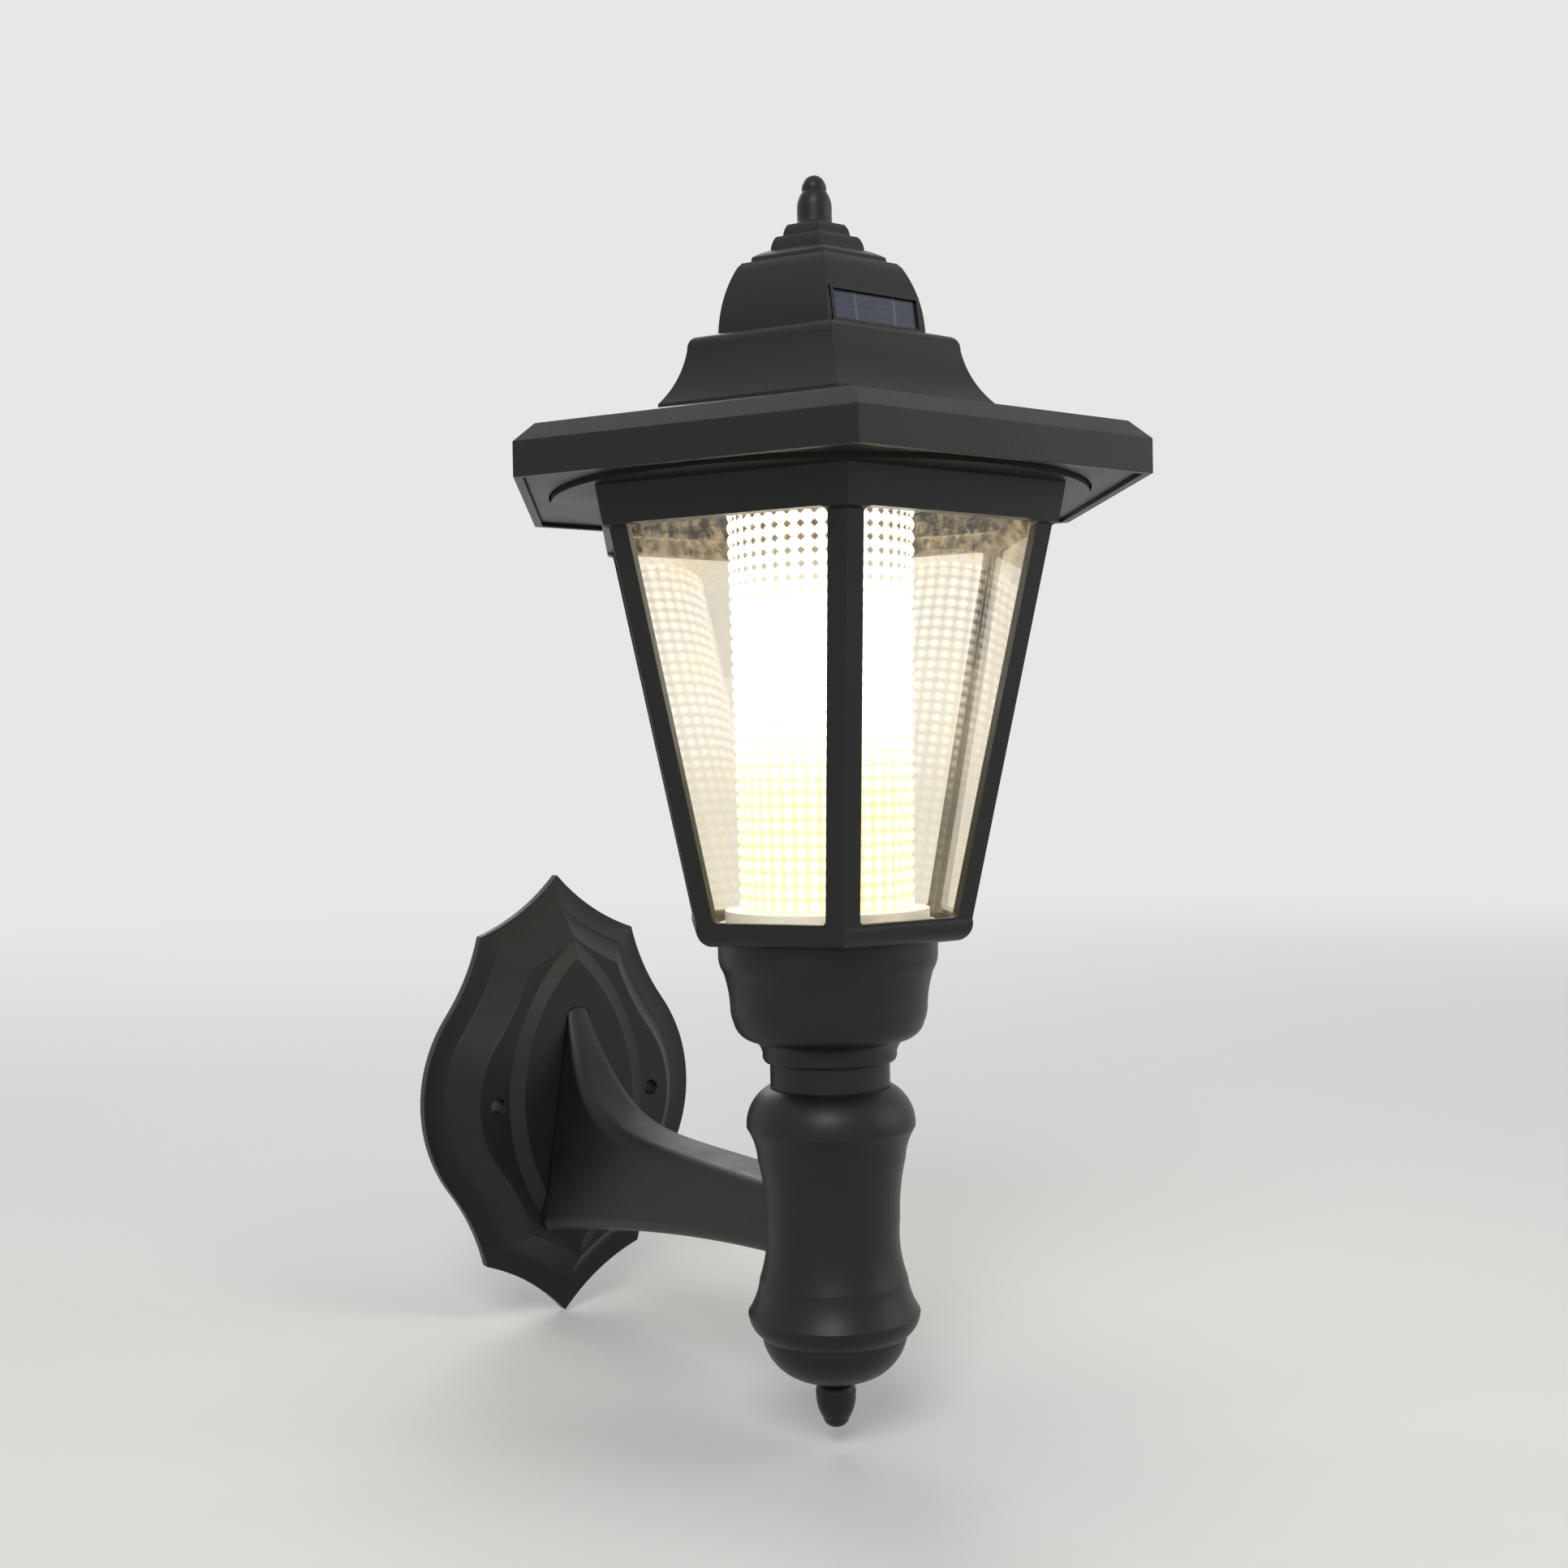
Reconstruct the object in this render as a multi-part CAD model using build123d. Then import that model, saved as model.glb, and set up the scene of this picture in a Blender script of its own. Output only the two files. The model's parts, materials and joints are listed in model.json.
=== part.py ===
from build123d import *
from math import cos, radians, sin, sqrt
import os

# Wall lantern with a solar roof: a shield-shaped wall plate, a flared arm, a turned post and a
# six-sided lantern whose roof twists off. Millimetres, +Z up. The origin is the centre of the
# wall plate on the wall face, midway between its two screw holes. The wall is the plane y = 0
# and the lamp stands out in front of it, towards -Y.

# ---------------------------------------------------------------- wall plate
plate_half_height = 66.0      # centre to the pointed tip
plate_bulge_radius = 44.4     # round sides of the shield
bulge_end_angle = 36.0        # degrees above the middle where the round side ends
shoulder_x = 25.5             # corners between the sides and the pointed ends
shoulder_z = 48.8
tip_sag = 2.0                 # how hollow the curve from shoulder to tip is
rim_depth = 3.2               # square edge against the wall
rim_round = 1.0               # step in at the front of that edge
border_width = 6.0            # flat border inside the edge
slope_run = 7.0               # width of the slope up to the panel
panel_depth = 13.0            # wall face to panel face
plate_wall = 2.4
boss_tip_margin = 19.0        # plate's tip to the tip of the pointed raised field behind the arm
boss_side_margin = 22.4
boss_rise = 2.2
boss_slope = 4.0
screw_spacing = 51.0          # wall screw holes, centre to centre
screw_hole_radius = 2.25
screw_post_radius = 5.0
rib_thickness = 2.4
hub_radius = 9.0              # round pad where the back ribs cross
overshoot = 1.0               # how far a cutting shape runs past the face it opens

# ---------------------------------------------------------------- arm
lamp_reach = 143.0            # wall to the lamp's axis
arm_root_low, arm_root_high = -38.0, 27.0
arm_root_half_low, arm_root_half_high = 13.0, 3.2
arm_end_low, arm_end_high = -22.0, -4.6
arm_half_width = 9.0
arm_corner_radius = 4.4
arm_crown_share = 0.92        # corner radius over half the arm's width where the arm is narrow
arm_top_fade = 9.0            # how fast the pointed root's top falls away; higher is faster
arm_side_fade = 4.0
arm_low_fade = 1.6
arm_stations = (0.0, 0.04, 0.09, 0.15, 0.22, 0.3, 0.4, 0.5, 0.6, 0.7, 0.8, 0.9, 1.0)
arm_seat_gap = 0.3            # glue line between the arm's hollow end and the post
arm_wall = 3.0
arm_root_wall = 8.0           # solid length that takes the fixing screws
arm_end_wall = 10.0
tenon_width = 9.0             # tongue that goes through the post's wall
tenon_reach = 3.0
tenon_clearance = 0.15
arm_screw_heights = (8.0, -24.0)
arm_screw_radius = 1.6
arm_screw_grip = 7.0          # thread length in the arm
arm_screw_tip_gap = 0.5
shank_gap = 0.05              # between a screw's shank and its hole
cross_width = 0.8             # cross recess in a screw head
cross_depth = 0.7

# ---------------------------------------------------------------- post
post_wall = 2.4
barrel_height = 59.2
barrel_below_arm = 25.3       # barrel's foot to the middle of the arm's end
barrel_foot_radius = 17.8
barrel_bead_radius = 20.7     # widest ring near each end
barrel_waist_radius = 16.2
barrel_top_radius = 15.0
lower_bead_height = 5.2
lower_bead_bulge = 0.7
upper_bead_height = 49.6
upper_bead_inset = 0.4        # the upper ring is this much slimmer than the lower one
barrel_flare = 1.6            # extra radius where the waist runs out towards a ring
lower_flare_height = 13.2
upper_flare_height = 42.0
waist_height = 27.3
flare_hollow = 0.5
waist_hollow = 0.8
barrel_top_bulge = 1.6
collar_depth = 4.0            # ring inside the barrel's top that holds the neck sleeve
bowl_height = 10.9
bowl_radius = 17.4
bowl_tip_radius = 4.6
bowl_lip = 1.0
bowl_bulge = 3.0
bowl_recess = 2.0
bowl_spigot_depth = 7.0
drop_height = 11.9
drop_radius = 4.8
drop_neck_radius = 3.4
drop_tip_radius = 3.2
drop_tip_height = 2.2
drop_wide_height = 7.6
drop_neck_height = 11.1
drop_tip_bulge = 0.8
drop_side_bulge = 0.4
drop_neck_bulge = 0.6
drop_pin_radius = 1.8
drop_pin_length = 6.0

# ---------------------------------------------------------------- neck and cup
neck_radius = 14.4
neck_height = 6.1             # part of the sleeve that shows
neck_spigot_radius = 12.2
neck_spigot_down = 14.0
neck_spigot_up = 6.0
neck_bore_radius = 9.6
fit_gap = 0.1                 # between pieces pushed together for good
cup_height = 29.5
cup_wall = 2.2
cup_foot_radius = 15.5
cup_foot_ring_radius = 16.1
cup_foot_ring_height = 2.0
cup_bead_radius = 17.9
cup_bead_height = 5.2
cup_bowl_low_radius = 22.9
cup_bowl_low_height = 9.4
cup_bowl_low_bulge = 1.1
cup_bowl_high_radius = 23.7
cup_bowl_high_height = 13.2
cup_bowl_high_bulge = 0.2
cup_flare_radius = 25.2
cup_flare_height = 21.6
cup_top_radius = 26.4
cup_rim_height = 3.9          # straight rim at the top
cup_ring_bulge = 0.3
cup_lid = 3.0                 # closed top that the lantern is screwed to
cup_screw_circle = 13.0
cup_screw_radius = 1.5

# ---------------------------------------------------------------- lantern
# Radii of six-sided pieces are measured to their corners.
cage_height = 104.1
cage_wall = 2.6
cage_floor = 2.5
cage_foot_radius = 33.4
cage_low_radius = 36.9        # frame corner at the bottom of the windows
cage_low_height = 5.2
cage_foot_bulge = 1.2
cage_high_radius = 57.6       # frame corner at the top of the windows
band_height = 9.4             # top band, above the frame
band_low_step = 1.6           # how far the band stands out of the frame's corner
band_high_step = 3.4
band_step_height = 0.6        # height over which the band steps out
window_low = 5.7              # above the cage's foot
window_below_top = 8.6
strut_half_width = 4.5        # along a face, from the corner to the window
window_corner = 1.2
shade_wall = 1.3
shade_gap = 0.15
shade_above_window = 5.0
tube_radius = 22.3            # foot ring that stands in the seat
tube_foot_height = 3.4
tube_low_radius = 20.4        # the tube widens from here, above its foot ring, to its top
tube_top_radius = 21.9
tube_wall = 1.5
tube_above_cage = 3.0
tube_seat_margin = 1.6        # between the seat's rim and the shade
tube_seat_thickness = 1.4
tube_seat_lip = 3.2
tube_seat_wall = 1.8
tube_gap = 0.2
cup_screw_reach = 2.0         # screw length below the cup's lid

# ---------------------------------------------------------------- twist lock
flange_margin = 6.2           # underside board left outside the flange, at the roof's flat sides
flange_thickness = 2.5
collar_inset = 11.6           # flange's edge to the collar that stands on it
collar_wall = 2.2
collar_height = 5.8           # above the flange
lug_reach = 3.5
lug_thickness = 2.0
lug_angle = 24.0
lug_count = 3
stop_angle = 3.0              # width of the stop beside each lug
stop_clearance = 0.5          # degrees between the stop and the roof's catch
lock_gap = 0.5                # running gap between the roof and the lantern

# ---------------------------------------------------------------- roof
roof_rest_gap = 0.2           # between the lantern's band and the roof's lowest edge
roof_wall = 2.0
brim_radius = 80.9
skirt_height = 7.7
skirt_wall_drop = 0.8         # inside corner of the skirt, below its outer edge
edge_wall_inset = 0.6
brim_edge_inset = 5.4         # skirt to where the bevel above it ends
brim_edge_height = 12.1
brim_seat_margin = 0.8        # flat left outside the riser's foot
brim_seat_height = 18.3
brim_mouth_margin = 3.2       # riser's foot to the opening under it
board_recess = 1.0            # underside board, above the skirt's lip
board_thickness = 2.0
board_gap = 0.15
riser_foot_radius = 44.4
riser_foot_lip = 0.9
riser_foot_thickness = 0.8
riser_hollow = 1.1
riser_shoulder_bulge = 0.85
riser_ledge_inset = 2.0
riser_neck_radius = 36.4
riser_neck_drop = 4.0         # below the ledge
riser_shoulder_radius = 33.2
riser_shoulder_drop = 0.6
riser_height = 36.3           # ledge under the dome
dome_radius = 27.9
dome_top_radius = 22.4
dome_height = 17.9            # above the ledge
dome_bulge = 1.15
dome_edge_height = 1.3        # bevel round the dome's top
dome_edge_inset = 1.4
dome_seat_thickness = 1.2
dome_seat_margin = 1.0        # ledge left round the opening under the dome
crown_plug_radius = 10.0      # plug of the crown in the dome's top
# foot radius, top radius and height of each tier
crown_tiers = ((18.5, 18.1, 1.8), (18.1, 13.4, 2.2), (12.8, 11.2, 3.6), (9.2, 7.8, 3.4))
tier_bulges = (0.1, 0.1, 0.35, 0.35)
finial_height = 12.8
finial_collar_radius = 4.7
finial_collar_top_radius = 4.4
finial_collar_height = 1.2
finial_radius = 4.2
finial_waist_height = 1.8
finial_stem_height = 4.9
finial_neck_radius = 2.9      # top of the shoulder above the stem
finial_neck_height = 8.9
finial_shoulder_bulge = 0.35
finial_tip_radius = 2.65
finial_round = 1.9            # height of the rounded tip
finial_bulge = 0.2
finial_pin_length = 6.0
spigot_height = 2.0           # short tongue that centres each roof piece in the next
service_thickness = 2.0
screw_post_gap = 0.2
roof_post_radius = 3.0
screw_hole_roof = 1.5         # plastic left above a blind screw hole
service_screw_circle = 45.0
small_screw_radius = 1.3
small_head_radius = 2.5
small_head_height = 1.4
board_screw_grip = 4.0        # thread length above the piece that a screw holds
service_screw_grip = 3.5
small_cross_width = 0.6
small_cross_depth = 0.5
screw_gap = 0.1

# ---------------------------------------------------------------- solar cell and electronics
cell_side_margin = 4.2        # dome's edges to the cell
cell_top_margin = 11.0
cell_thickness = 1.2
cell_lean = 9.0               # degrees back from upright
cell_above_ledge = 1.3
cell_proud = 0.5
cell_seat_gap = 0.05
cell_inset = 0.75             # how far the cell's frame sits behind the dome's foot
bezel_width = 0.9
bezel_thickness = 2.2
bezel_floor = 0.8
pocket_wall = 1.2             # dome's wall behind the bezel
pocket_margin = 1.5
stalk_top_radius = 15.0
stalk_radius = 10.5
stalk_drop = 24.0             # below the service plate
stalk_rim_height = 2.0
stalk_rim_width = 4.0
cable_radius = 4.0            # way for the wires through plate and stalk
led_board_inset = 0.5
led_board_thickness = 1.6
led_radius = 4.0
led_length = 7.5
led_tip_bulge = 1.16
led_foot_height = 1.2
led_foot_width = 0.8
battery_radius = 7.1
battery_length = 43.0
battery_y = 5.6               # in front of the axis is negative
battery_cap_radius = 2.6
battery_cap_height = 1.0
battery_gap = 0.2
holder_wall = 1.4
holder_end_room = 3.2
contact_thickness = 0.6
contact_width = 8.0
contact_tab_width = 4.0
circuit_size = (30.0, 14.0, 1.6)
circuit_stand = 2.0
circuit_y = -10.6
circuit_leg_radius = 1.6
circuit_leg_inset = 3.0
chip_size = (7.0, 5.0, 1.8)
chip_x = -4.0
capacitor_radius = 2.2
capacitor_height = 5.0
capacitor_x = 7.0
capacitor_y = -12.0
switch_case = (12.0, 6.0, 5.0)
switch_knob = (4.0, 3.0, 3.4)
switch_travel = 4.0
switch_radius = 36.0          # distance from the axis
switch_lip = 0.8
switch_gap = 0.3
switch_stem = 2.6             # part of the knob inside the case
switch_case_wall = 1.0
groove_pitch = 1.2
groove_width = 0.4

# ---------------------------------------------------------------- places that follow from the sizes
boss_half_height = plate_half_height - boss_tip_margin
boss_half_width = plate_bulge_radius - boss_side_margin
arm_root_depth = panel_depth + boss_rise
arm_length = lamp_reach - arm_root_depth
arm_end_z = (arm_end_low + arm_end_high) / 2
barrel_z = arm_end_z - barrel_below_arm
barrel_top_z = barrel_z + barrel_height
cup_z = barrel_top_z + neck_height
cage_z = cup_z + cup_height
cage_top_z = cage_z + cage_height
window_high = cage_height - window_below_top
band_low_radius = cage_high_radius + band_low_step
band_high_radius = cage_high_radius + band_high_step
roof_z = cage_top_z + roof_rest_gap
board_z = roof_z + board_recess
pan_z = cage_top_z + flange_thickness + lock_gap
service_z = cage_top_z + flange_thickness + collar_height + lock_gap
stalk_foot_z = service_z - stalk_drop
hex_flat = cos(radians(30))   # flat-to-centre distance of a six-sided piece over its corner radius
flange_radius = brim_radius * hex_flat - flange_margin
collar_radius = flange_radius - collar_inset
ring_inner = collar_radius + lug_reach + lock_gap      # twist ring of the roof
ring_outer = ring_inner + roof_wall
board_screw_circle = ring_outer + screw_post_gap + roof_post_radius
brim_edge_radius = brim_radius - brim_edge_inset
brim_seat_radius = riser_foot_radius + brim_seat_margin
brim_mouth_radius = riser_foot_radius - brim_mouth_margin
dome_top = riser_height + dome_height
cell_width = dome_radius - cell_side_margin
cell_height = dome_height - cell_top_margin


# ---------------------------------------------------------------- shared shapes
def edges_along(points):
    # Lines, or arcs where a point has a third value: how far the arc stands out of its chord.
    edges = []
    for start, end in zip(points, points[1:]):
        if len(end) == 3:
            edges.append(SagittaArc(start[:2], end[:2], end[2]))
        else:
            edges.append(Line(start[:2], end[:2]))
    return edges


def cap_sag(radius, rise):
    # Bulge of the arc that closes a round end smoothly on the axis, for a path that goes up.
    curve = (radius ** 2 + rise ** 2) / (2 * rise)
    half_chord = sqrt(radius ** 2 + rise ** 2) / 2
    return sqrt(curve ** 2 - half_chord ** 2) - curve


def turned(points):
    # Round piece from an outline of (radius, height) points that starts and ends on the axis.
    closed = edges_along(list(points) + [points[0][:2]])
    return revolve(Plane.XZ * make_face(closed), Axis.Z)


def six_sided(points):
    # Six-sided piece whose corners follow an outline of (corner radius, height) points. Two of
    # its flat sides face the wall and away from it.
    flat = [(point[0] * hex_flat, *point[1:]) for point in points]
    right = edges_along(flat)
    left = [mirror(edge, Plane.YZ) for edge in right]
    low = Line((-flat[0][0], flat[0][1]), flat[0][:2])
    high = Line((-flat[-1][0], flat[-1][1]), flat[-1][:2])
    reach = max(point[0] for point in points) * 1.2
    slab = extrude(Plane.XZ * make_face(right + left + [low, high]), amount=reach, both=True)
    sides = [Rot(0, 0, turn) * slab for turn in (30, 90, 150)]
    return sides[0] & sides[1] & sides[2]


def rod(radius, low, high, x=0.0, y=0.0):
    # Upright round bar between two heights.
    return Pos(x, y, low) * Cylinder(radius, high - low, align=(Align.CENTER, Align.CENTER, Align.MIN))


def ring(outer, inner, low, high):
    return rod(outer, low, high) - rod(inner, low - overshoot, high + overshoot)


def block(size, x, y, low):
    # Box standing on a height.
    return Pos(x, y, low) * Box(*size, align=(Align.CENTER, Align.CENTER, Align.MIN))


def around(shape, count, first=0.0):
    return [Rot(0, 0, first + 360 / count * step) * shape for step in range(count)]


def polar(radius, angle):
    return radius * cos(radians(angle)), radius * sin(radians(angle))


def sector(outer, inner, angle, low, high):
    # Part of a ring, centred on the +X direction.
    half = radians(angle / 2)
    reach = outer * 1.5
    wedge = Polygon((0, 0), (reach * cos(half), -reach * sin(half)),
                    (reach * cos(half), reach * sin(half)), align=None)
    return ring(outer, inner, low, high) & (Pos(0, 0, low) * extrude(wedge, amount=high - low))


# ---------------------------------------------------------------- wall plate
def shield(inset=0.0):
    # Outline of the plate seen from the front, moved inwards by the inset.
    angle = radians(bulge_end_angle)
    end_x, end_z = plate_bulge_radius * cos(angle), plate_bulge_radius * sin(angle)
    quarter = [
        SagittaArc((0, plate_half_height), (shoulder_x, shoulder_z), -tip_sag),
        TangentArc((end_x, end_z), (shoulder_x, shoulder_z), tangent=(-sin(angle), cos(angle))),
    ]
    lower = [mirror(edge, Plane.XZ) for edge in quarter]
    bulge = ThreePointArc((end_x, end_z), (plate_bulge_radius, 0), (end_x, -end_z))
    right = quarter + [bulge] + lower
    outline = make_face(right + [mirror(edge, Plane.YZ) for edge in right])
    if inset:
        outline = offset(outline, amount=-inset, kind=Kind.INTERSECTION)
    return outline


def pointed_field(inset=0.0):
    # Outline of the raised field behind the arm: two arcs that meet in points.
    side = ThreePointArc((0, boss_half_height), (boss_half_width, 0), (0, -boss_half_height))
    outline = make_face([side, mirror(side, Plane.YZ)])
    if inset:
        outline = offset(outline, amount=-inset, kind=Kind.INTERSECTION)
    return outline


def at_depth(outline, depth):
    return Pos(0, -depth, 0) * (Plane.XZ * outline)


def between(low_outline, low_depth, high_outline, high_depth):
    # Straight-sided solid between two outlines at two distances from the wall.
    return loft([at_depth(low_outline, low_depth).face(), at_depth(high_outline, high_depth).face()],
                ruled=True)


def plate_tiers(extra, depth_cut):
    # Stacked tiers of the plate, each outline moved in by extra and each depth cut back.
    edge = rim_depth - depth_cut
    field = panel_depth - depth_cut
    border = border_width + extra
    return (between(shield(extra), 0, shield(extra), edge)
            + between(shield(rim_round + extra), edge, shield(border), edge + rim_round)
            + between(shield(border), edge + rim_round, shield(border + slope_run), field))


def back_plate():
    body = plate_tiers(0, 0)
    front = panel_depth + boss_rise
    body += between(pointed_field(), panel_depth, pointed_field(boss_slope), front)
    body -= arm_foot(-fit_gap)
    body -= plate_tiers(plate_wall, plate_wall)
    ribs = Pos(0, -panel_depth / 2, 0) * Box(2 * boss_half_width, panel_depth, rib_thickness)
    ribs += Pos(0, -panel_depth / 2, 0) * Box(rib_thickness, panel_depth, 2 * boss_half_width)
    across = Rot(90, 0, 0)
    ribs += across * rod(hub_radius, 0, panel_depth)
    for side in (-1, 1):
        ribs += Pos(side * screw_spacing / 2, 0, 0) * across * rod(screw_post_radius, 0, panel_depth)
    body += ribs
    for side in (-1, 1):
        hole = across * rod(screw_hole_radius, -overshoot, front + overshoot)
        body -= Pos(side * screw_spacing / 2, 0, 0) * hole
    for height in arm_screw_heights:
        body -= Pos(0, 0, height) * across * rod(arm_screw_radius + screw_gap, 0, front + overshoot)
        body -= Pos(0, 0, height) * across * rod(2 * arm_screw_radius + screw_gap, -overshoot,
                                                 panel_depth - plate_wall)
    return body


# ---------------------------------------------------------------- arm
def arm_section(share, shrink):
    # Upright section of the arm, from the tall pointed root (0) to the post (1).
    fade = (1 - share) ** arm_top_fade
    sink = (1 - share) ** arm_low_fade
    width = (1 - share) ** arm_side_fade
    low = arm_end_low + (arm_root_low - arm_end_low) * sink + shrink
    high = arm_end_high + (arm_root_high - arm_end_high) * fade - shrink
    half_low = arm_half_width + (arm_root_half_low - arm_half_width) * width - shrink
    half_high = arm_half_width + (arm_root_half_high - arm_half_width) * fade - shrink
    outline = Polygon((-half_low, low), (half_low, low), (half_high, high), (-half_high, high), align=None)
    corner = min(arm_corner_radius, half_high * arm_crown_share)
    return at_depth(fillet(outline.vertices(), corner), arm_root_depth + arm_length * share).face()


def arm_foot(shrink):
    # The arm's root, sunk through the raised field onto the plate's panel.
    return extrude(arm_section(0.0, shrink), amount=boss_rise, dir=(0, 1, 0))


def arm_shape(shrink, shares):
    return loft([arm_section(share, shrink) for share in shares])


def arm_room():
    # Hollow inside the arm, closed by a wall at each end.
    start = arm_root_depth + arm_root_wall
    stop = lamp_reach - barrel_waist_radius - arm_end_wall
    width = 2 * max(arm_root_half_low, arm_half_width)
    height = 2 * max(arm_root_high, -arm_root_low)
    room = Pos(0, -(start + stop) / 2, 0) * Box(width, stop - start, height)
    return arm_shape(arm_wall, arm_stations[1:]) & room


def bracket_arm():
    tenon_length = barrel_waist_radius + tenon_reach
    tongue = Pos(0, -lamp_reach + tenon_length / 2, arm_end_z) * Box(tenon_width, tenon_length, tenon_width)
    tongue -= place(rod(barrel_waist_radius - post_wall - tenon_reach, barrel_z, barrel_top_z))
    body = arm_shape(0, arm_stations) + arm_foot(0) - place(barrel_solid(-arm_seat_gap)) + tongue
    for height in arm_screw_heights:
        grip = arm_root_depth + arm_screw_grip
        body -= Pos(0, 0, height) * Rot(90, 0, 0) * rod(arm_screw_radius, 0, grip)
    return body - arm_room()


def cross_recess(head_radius, face):
    # Cross cut into a screw head at the height of its face.
    length = head_radius * 1.1
    return (Pos(0, 0, face) * Box(cross_width, length, 2 * cross_depth)
            + Pos(0, 0, face) * Box(length, cross_width, 2 * cross_depth))


def arm_screws():
    head_seat = panel_depth - plate_wall
    head_low = head_seat - arm_screw_radius
    grip = arm_root_depth + arm_screw_grip - arm_screw_tip_gap
    screw = rod(arm_screw_radius - shank_gap, head_low, grip)
    screw += rod(2 * arm_screw_radius, head_low, head_seat)
    screw -= cross_recess(2 * arm_screw_radius, head_low)
    return [Pos(0, 0, height) * Rot(90, 0, 0) * screw for height in arm_screw_heights]


# ---------------------------------------------------------------- post
def place(shape):
    # From the lamp's own axis to its place in front of the wall.
    return Pos(0, -lamp_reach, 0) * shape


def barrel_points(shrink):
    # Outline of the turned post above its foot, with the radius shrunk for its hollow.
    return [
        (barrel_foot_radius - shrink, 0),
        (barrel_bead_radius - shrink, lower_bead_height, -lower_bead_bulge),
        (barrel_waist_radius + barrel_flare - shrink, lower_flare_height, flare_hollow),
        (barrel_waist_radius - shrink, waist_height, waist_hollow),
        (barrel_waist_radius + barrel_flare - shrink, upper_flare_height, flare_hollow),
        (barrel_bead_radius - upper_bead_inset - shrink, upper_bead_height, flare_hollow),
        (barrel_top_radius - shrink, barrel_height, -barrel_top_bulge),
    ]


def barrel_solid(shrink):
    points = barrel_points(shrink)
    return Pos(0, 0, barrel_z) * turned([(0, 0)] + points + [(0, barrel_height)])


def post_barrel():
    body = barrel_solid(0) - barrel_solid(post_wall)
    collar_outer = barrel_top_radius - post_wall / 4
    body += ring(collar_outer, neck_spigot_radius + fit_gap, barrel_top_z - collar_depth, barrel_top_z)
    slot = tenon_width + 2 * tenon_clearance
    body -= Pos(0, barrel_waist_radius, arm_end_z) * Box(slot, 2 * barrel_waist_radius, slot)
    return place(body)


def post_bowl():
    low = -bowl_height
    body = turned([(0, low), (bowl_tip_radius, low), (bowl_radius, -bowl_lip, -bowl_bulge), (bowl_radius, 0),
                   (0, 0)])
    spigot = barrel_foot_radius - post_wall - fit_gap
    body += rod(spigot, 0, bowl_spigot_depth)
    body -= rod(spigot - post_wall, -bowl_recess, bowl_spigot_depth + overshoot)
    body -= rod(drop_pin_radius, low - overshoot, 0)
    return place(Pos(0, 0, barrel_z) * body)


def drop_finial():
    low = -drop_height
    body = turned([(0, low), (drop_tip_radius, low + drop_tip_height, -drop_tip_bulge),
                   (drop_radius, low + drop_wide_height, -drop_side_bulge),
                   (drop_neck_radius, low + drop_neck_height, -drop_neck_bulge),
                   (drop_neck_radius, 0), (0, 0)])
    body += rod(drop_pin_radius - shank_gap, 0, drop_pin_length)
    return place(Pos(0, 0, barrel_z - bowl_height) * body)


# ---------------------------------------------------------------- neck and cup
def neck_sleeve():
    body = rod(neck_radius, barrel_top_z, cup_z)
    body += rod(neck_spigot_radius, barrel_top_z - neck_spigot_down, cup_z + neck_spigot_up)
    body -= rod(neck_bore_radius, barrel_top_z - neck_spigot_down - overshoot,
                cup_z + neck_spigot_up + overshoot)
    return place(body)


def cup_points(shrink):
    return [
        (cup_foot_radius - shrink, 0),
        (cup_foot_ring_radius - shrink, cup_foot_ring_height, -cup_ring_bulge),
        (cup_bead_radius - shrink, cup_bead_height, cup_ring_bulge),
        (cup_bowl_low_radius - shrink, cup_bowl_low_height, -cup_bowl_low_bulge),
        (cup_bowl_high_radius - shrink, cup_bowl_high_height, -cup_bowl_high_bulge),
        (cup_flare_radius - shrink, cup_flare_height, cup_ring_bulge),
        (cup_top_radius - shrink, cup_height - cup_rim_height, -cup_ring_bulge),
        (cup_top_radius - shrink, cup_height),
    ]


def lantern_cup():
    outer = turned([(0, 0)] + cup_points(0) + [(0, cup_height)])
    hollow = turned([(0, 0)] + cup_points(cup_wall) + [(0, cup_height)])
    hollow &= rod(cup_top_radius, cup_wall, cup_height - cup_lid)
    body = outer - hollow - rod(neck_spigot_radius + fit_gap, -overshoot, cup_wall + overshoot)
    for x, y in cup_screw_places():
        body -= rod(cup_screw_radius, cup_height - cup_lid - overshoot, cup_height + overshoot, x, y)
    return place(Pos(0, 0, cup_z) * body)


def cup_screw_places():
    return [polar(cup_screw_circle, angle) for angle in (30, 150, 270)]


def cup_screws():
    screws = []
    for x, y in cup_screw_places():
        low, high = cage_z - cup_lid - cup_screw_reach, cage_z + cage_floor
        top = high + cup_screw_radius
        screw = rod(cup_screw_radius - shank_gap, low, high, x, y)
        screw += rod(2 * cup_screw_radius, high, top, x, y)
        screws.append(place(screw - Pos(x, y, 0) * cross_recess(2 * cup_screw_radius, top)))
    return screws


# ---------------------------------------------------------------- lantern
def cage_corner(height):
    # Corner radius of the tapering frame at a height above its foot.
    rise = (height - cage_low_height) / (cage_height - band_height - cage_low_height)
    return cage_low_radius + (cage_high_radius - cage_low_radius) * rise


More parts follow.
